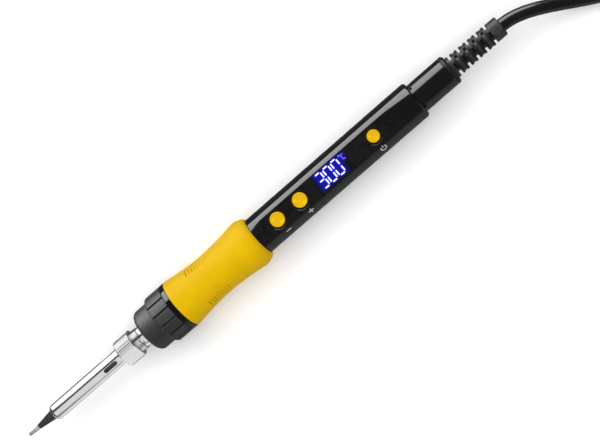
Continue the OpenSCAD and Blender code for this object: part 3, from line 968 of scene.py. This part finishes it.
PLUG_Y = 8
PLUG_Z = 23.02
PLUG_REAR = 278
FACE = PLUG_REAR - 54
plug = box_at("plug_body_piece", (FACE, PLUG_Y - 12, PLUG_Z - 11), (FACE + 18, PLUG_Y + 12, PLUG_Z + 11))
select(plug, "FACE", lambda f: f.normal.x > 0.9)
for step, scale_y, scale_z in ((9, 0.9, 0.88), (5, 0.78, 0.78), (4, 0.82, 0.82)):
    bpy.ops.mesh.extrude_region_move(TRANSFORM_OT_translate={"value": (step * MM, 0, 0)})
    bpy.ops.transform.resize(value=(1, scale_y, scale_z))
leave_edit()
soften(plug, 2.6, 20, 5)
for i in range(3):
    for side in (-1, 1):
        low = FACE + 18 + 4 * i
        rib = box_at("rib", (low, PLUG_Y - 7, PLUG_Z - 0.6), (low + 1.4, PLUG_Y + 7, PLUG_Z + 0.6))
        rib.location.z = side * (10.55 - 0.55 * i) * MM
        settle(rib)
        soften(rib, 0.5, 30, 3)
        plug = join([plug, rib])
smooth(plug, 35)
deselect()
bpy.ops.mesh.primitive_cone_add(
    vertices=64,
    radius1=5 * MM,
    radius2=3.9 * MM,
    depth=18.5 * MM,
    location=((PLUG_REAR - 9.25) * MM, PLUG_Y * MM, PLUG_Z * MM),
    rotation=(0, math.pi / 2, 0),
)
neck = bpy.context.object
settle(neck)
for i in range(4):
    at_x = PLUG_REAR - 14.5 + 3.6 * i
    for low, high in ((1.6, 7), (-7, -1.6)):
        slot = box_at("slot", (at_x, PLUG_Y - 7, PLUG_Z + low), (at_x + 1.2, PLUG_Y + 7, PLUG_Z + high))
        cut(neck, slot)
bore = turned_up("bore", 0, [(0, 0), (3.02, 0), (3.02, 15), (0, 15)], 48)
turn_about(bore, 90, spot(0, 0, 0), "Y")
bore.location = Vector(((PLUG_REAR - 7.5) * MM, PLUG_Y * MM, PLUG_Z * MM)) - spot(0, 0, 0)
settle(bore)
cut(neck, bore)
soften(neck, 0.2, 35)
smooth(neck, 35)
plug = join([plug, neck])
plug.name = "plug_body_piece"
place(plug, "handle", "plug_rubber", finishes["plug"], "plug_body")

blades = []
for y in (-6.35, 6.35):
    low = (FACE - 17.5, PLUG_Y + y - 0.75, PLUG_Z - 8.2)
    high = (FACE - 0.1, PLUG_Y + y + 0.75, PLUG_Z - 1.85)
    blade = box_at("blade", low, high)
    select(blade, "EDGE", lambda e: all(p.x < (FACE - 17) * MM for p in ends_of(blade, e)))
    bpy.ops.mesh.bevel(offset=0.5 * MM, segments=3, affect="EDGES")
    leave_edit()
    blades.append(blade)
blades = join(blades)
soften(blades, 0.12, 35)
smooth(blades)
blades.name = "plug_blades_piece"
place(blades, "handle", "plug_metal", finishes["brass"], "plug_blades")

pin = turned("plug_earth_pin_piece", [
    (0, 0), (0, 2.38, 1.6), (19.9, 2.38, 0.1), (19.9, 0),
], 64)
pin.location = Vector(((FACE - 20) * MM, PLUG_Y * MM, (PLUG_Z + 6.5) * MM)) - spot(0, 0, 0)
settle(pin)
smooth(pin)
place(pin, "handle", "plug_metal", finishes["brass"], "plug_earth_pin")


# ---- Inner pieces keep their plain meshes ----

INNER = {
    "heating_element": make_finish("alumina_finish", (0.07, 0.067, 0.062), 0.55, vary=0.05,
                                   grain_depth=0.006),
    "heater_collar": make_finish("ring_finish", (0.72, 0.68, 0.58), 0.6, vary=0.06, grain_depth=0.01),
    "earth_spring": make_finish("spring_finish", (0.5, 0.5, 0.51), 0.3, 1, grain_depth=0.002),
    "heater_holder": make_finish("holder_finish", (0.58, 0.52, 0.4), 0.5, vary=0.06, grain_depth=0.01),
    "heater_leads": make_finish("red_lead_finish", (0.5, 0.04, 0.03), 0.4, vary=0.1, grain_depth=0.006),
    "sensor_leads": make_finish("white_lead_finish", (0.75, 0.74, 0.7), 0.4, vary=0.05, grain_depth=0.006),
    "display_module": make_finish("display_body_finish", (0.01, 0.01, 0.06), 0.3, vary=0.1,
                                  grain_depth=0.004),
    "button_switches": make_finish("switch_finish", (0.03, 0.03, 0.032), 0.4, vary=0.1, grain_depth=0.006),
    "minus_plunger": make_finish("plunger_finish", (0.6, 0.6, 0.58), 0.45, vary=0.05, grain_depth=0.004),
    "circuit_board": make_finish("board_finish", (0.01, 0.12, 0.04), 0.35, vary=0.15, grain_depth=0.008),
    "controller_chip": make_finish("chip_finish", (0.015, 0.015, 0.016), 0.5, vary=0.1, grain_depth=0.008),
    "film_capacitor": make_finish("film_finish", (0.5, 0.32, 0.03), 0.35, vary=0.08, grain_depth=0.006),
    "smoothing_capacitor": make_finish("can_finish", (0.02, 0.05, 0.16), 0.3, vary=0.1, grain_depth=0.004),
    "fuse": make_finish("fuse_finish", (0.6, 0.6, 0.6), 0.2, vary=0.05, grain_depth=0.002),
    "cable_tie": make_finish("nylon_finish", (0.7, 0.7, 0.66), 0.45, vary=0.05, grain_depth=0.008),
    "brown_wire": make_finish("brown_finish", (0.14, 0.05, 0.015), 0.4, vary=0.1, grain_depth=0.006),
    "blue_wire": make_finish("blue_finish", (0.015, 0.08, 0.34), 0.4, vary=0.1, grain_depth=0.006),
    "earth_wire": make_finish("earth_finish", (0.28, 0.42, 0.02), 0.4, vary=0.15, grain_depth=0.006),
}
SAME_AS = {
    "plus_plunger": "minus_plunger",
    "power_plunger": "minus_plunger",
    "triac": "controller_chip",
}
for name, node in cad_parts.items():
    if node.hide_render:
        continue
    node.data.materials.clear()
    if name == "cord_inner_end":
        node.data.materials.append(finishes["cord"])
    else:
        node.data.materials.append(INNER[SAME_AS.get(name, name)])


# ---- Floor and light ----

deselect()
bpy.ops.mesh.primitive_plane_add(size=6, location=(0, 0, -0.05 * MM))
floor = bpy.context.object
floor.name = "floor"
paper = Nodes("paper")
paper.link(paper.mix(paper.spread(paper.noise(3, 2), 0.3, 0.7), (0.92, 0.92, 0.92), (0.94, 0.94, 0.94)),
           paper.shader.inputs["Base Color"])
paper.shader.inputs["Roughness"].default_value = 0.9
paper.shader.inputs["Specular IOR Level"].default_value = 0.1
floor.data.materials.append(paper.finish)


def softbox(name, where, target, width, height, power):
    data = bpy.data.lights.new(name, "AREA")
    data.shape = "RECTANGLE"
    data.size = width
    data.size_y = height
    data.energy = power
    lamp = bpy.data.objects.new(name, data)
    lamp.location = where
    lamp.rotation_euler = (Vector(target) - Vector(where)).to_track_quat("-Z", "Y").to_euler()
    bpy.context.scene.collection.objects.link(lamp)
    return lamp


def softbox_panel(name, where, target, width, height, brightness, seen_in_gloss, lights_matt):
    """A soft light of an even brightness, which can be kept out of reflections or out of matt light."""
    lamp = softbox(name, where, target, width, height, brightness * math.pi * width * height)
    lamp.visible_glossy = seen_in_gloss
    lamp.visible_diffuse = lights_matt
    lamp.visible_camera = False
    return lamp


floor.visible_glossy = False
floor.visible_shadow = False
# The bright metal pieces are lit by their own paler boards
metal_pieces = bpy.data.collections.new("metal_pieces")
other_pieces = bpy.data.collections.new("other_pieces")
for piece in (tip, sleeve, nut, nipple):
    metal_pieces.objects.link(piece)
    other_pieces.objects.link(piece)
for member in other_pieces.collection_objects:
    member.light_linking.link_state = "EXCLUDE"

# The long highlight along the tool
strip = softbox_panel("strip_box", (-0.1, 0.95, 0.385), (-0.1, 0, 0.385), 2.4, 0.97, 6.5, True, False)
strip.light_linking.receiver_collection = other_pieces
# Light on matt surfaces: from above, and a little more from the side of the highlight
softbox_panel("top_box", (0, 0.2, 3.0), (0, 0.2, 0), 7, 7, 1.6, False, True)
softbox_panel("side_box", (-0.25, 1.0, 0.7), (0, 0, 0), 1.6, 1.0, 1.8, False, True)
# Boards for the metal: behind, overhead and in front
boards = (
    ("metal_strip", (-0.12, 0.95, 0.375), (-0.12, 0, 0.375), 1.1, 1.67, 1.3),
    ("metal_board", (-0.12, -0.62, 0.5), (-0.12, -0.62, 0), 0.7, 1.46, 0.75),
    ("metal_side", (-0.12, -1.35, -0.1), (-0.12, 0, -0.1), 1.4, 1.0, 0.2),
    ("metal_floor", (-0.12, -0.85, -0.35), (-0.12, -0.85, 0), 1.6, 1.2, 0.5),
)
for name, where, target, width, height, brightness in boards:
    board = softbox_panel(name, where, target, width, height, brightness, True, False)
    board.light_linking.receiver_collection = metal_pieces

# The room: dim overhead, pale low down on the button marks' side, nearly dark on the other
world = bpy.data.worlds.new("studio")
world.use_nodes = True
sky = world.node_tree


def sky_spread(value, low, high, start, end, kind="LINEAR"):
    node = sky.nodes.new("ShaderNodeMapRange")
    node.interpolation_type = kind
    node.inputs["From Min"].default_value = low
    node.inputs["From Max"].default_value = high
    node.inputs["To Min"].default_value = start
    node.inputs["To Max"].default_value = end
    sky.links.new(value, node.inputs["Value"])
    return node.outputs["Result"]


def sky_maths(operation, first, second):
    node = sky.nodes.new("ShaderNodeMath")
    node.operation = operation
    for socket, value in zip(node.inputs, (first, second)):
        if isinstance(value, (int, float)):
            socket.default_value = value
        else:
            sky.links.new(value, socket)
    return node.outputs["Value"]


split = sky.nodes.new("ShaderNodeSeparateXYZ")
sky.links.new(sky.nodes.new("ShaderNodeTexCoord").outputs["Generated"], split.inputs["Vector"])
height = split.outputs["Z"]
pale = sky_maths("MULTIPLY", sky_spread(height, -1, 0.3, 0.05, 0.62), sky_spread(height, -0.05, 0.35, 1, 0))
dark = sky_maths("MULTIPLY", sky_spread(height, -1, -0.2, 0.01, 0.06), sky_spread(height, -0.15, 0, 1, 0))
far_side = sky_spread(split.outputs["Y"], -0.1, 0.1, 0, 1)
pale = sky_maths("MULTIPLY", pale, sky_maths("SUBTRACT", 1, far_side))
dark = sky_maths("MULTIPLY", dark, far_side)
room = sky_maths("ADD", sky_maths("ADD", pale, dark), 0.1)
# The camera itself sees a pale backdrop
seen = sky.nodes.new("ShaderNodeLightPath").outputs["Is Camera Ray"]
room = sky_maths("MAXIMUM", room, sky_maths("MULTIPLY", seen, 0.95))
sky.links.new(room, sky.nodes["Background"].inputs["Strength"])
sky.nodes["Background"].inputs["Color"].default_value = (1, 1, 1, 1)
bpy.context.scene.world = world
